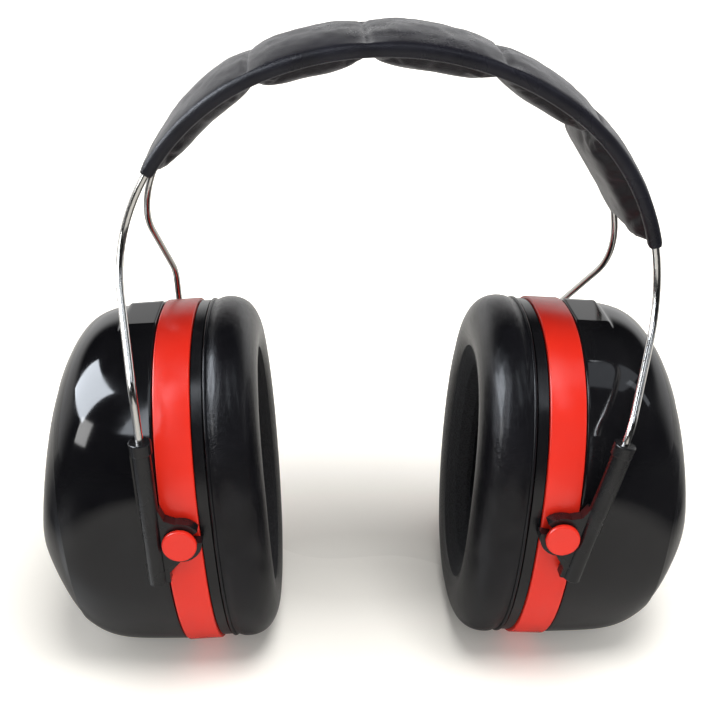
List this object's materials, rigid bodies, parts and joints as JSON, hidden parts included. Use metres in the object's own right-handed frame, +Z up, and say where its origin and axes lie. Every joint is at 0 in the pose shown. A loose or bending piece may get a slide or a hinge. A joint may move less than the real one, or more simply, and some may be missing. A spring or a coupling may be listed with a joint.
{
  "type": "earmuff hearing protector",
  "caption": "Over-the-head ear defender: two deep oval cups with soft sealing cushions, pivoting between sliding stems on a sprung wire headband with a padded cover.",
  "frame": {"origin": "on the table under the middle of the whole object, halfway between the two cups", "axes": "+X to the cup on the right seen from the front, +Y to the rear, +Z up"},
  "size_m": [0.2008, 0.1022, 0.1937],
  "materials": {
    "shell": "glossy black moulded plastic",
    "ring": "coral red moulded plastic, satin",
    "stem": "satin black moulded plastic",
    "plate": "satin black moulded plastic",
    "wire": "bright drawn stainless spring wire",
    "vinyl": "soft black vinyl sheet, low gloss",
    "padding": "black vinyl over soft foam",
    "foam": "dark open-cell foam"
  },
  "bodies": {
    "headband": {"front_wire": "wire", "rear_wire": "wire", "cover_skin": "vinyl", "cover_pad_1": "padding", "cover_pad_2": "padding", "cover_pad_3": "padding", "cover_pad_4": "padding", "cover_pad_5": "padding"},
    "left_front_stem": {"left_front_stem": "stem"},
    "left_rear_stem": {"left_rear_stem": "stem"},
    "left_cup": {"left_outer_shell": "shell", "left_inner_shell": "shell", "left_spacer_foam": "foam", "left_liner_foam": "foam", "left_trim_ring": "ring", "left_front_stud": "ring", "left_rear_stud": "ring", "left_cushion_plate": "plate", "left_cushion": "vinyl", "left_cushion_core": "foam"},
    "right_front_stem": {"right_front_stem": "stem"},
    "right_rear_stem": {"right_rear_stem": "stem"},
    "right_cup": {"right_outer_shell": "shell", "right_inner_shell": "shell", "right_spacer_foam": "foam", "right_liner_foam": "foam", "right_trim_ring": "ring", "right_front_stud": "ring", "right_rear_stud": "ring", "right_cushion_plate": "plate", "right_cushion": "vinyl", "right_cushion_core": "foam"}
  },
  "joints": [
    {"name": "left_front_slide", "type": "slide", "parent": "headband", "child": "left_front_stem", "axis": [0.0456, 0, -0.999], "range_m": [-0.011, 0.015]},
    {"name": "left_rear_slide", "type": "slide", "parent": "headband", "child": "left_rear_stem", "axis": [0.0456, 0, -0.999], "range_m": [-0.011, 0.015]},
    {"name": "left_cup_pivot", "type": "hinge", "parent": "left_front_stem", "child": "left_cup", "pos_m": [-0.05397, 0, 0.05848], "axis": [0, -1, 0], "range_deg": [-24.8, 19.2]},
    {"name": "right_front_slide", "type": "slide", "parent": "headband", "child": "right_front_stem", "axis": [-0.2451, 0, -0.9695], "range_m": [0, 0.026]},
    {"name": "right_rear_slide", "type": "slide", "parent": "headband", "child": "right_rear_stem", "axis": [-0.2451, 0, -0.9695], "range_m": [0, 0.026]},
    {"name": "right_cup_pivot", "type": "hinge", "parent": "right_front_stem", "child": "right_cup", "pos_m": [0.05397, 0, 0.05848], "axis": [0, 1, 0], "range_deg": [-13.2, 30.8]}
  ],
  "couplings": [
    {"joint": "left_rear_slide", "follows": "left_front_slide", "ratio": 1},
    {"joint": "right_rear_slide", "follows": "right_front_slide", "ratio": 1}
  ]
}
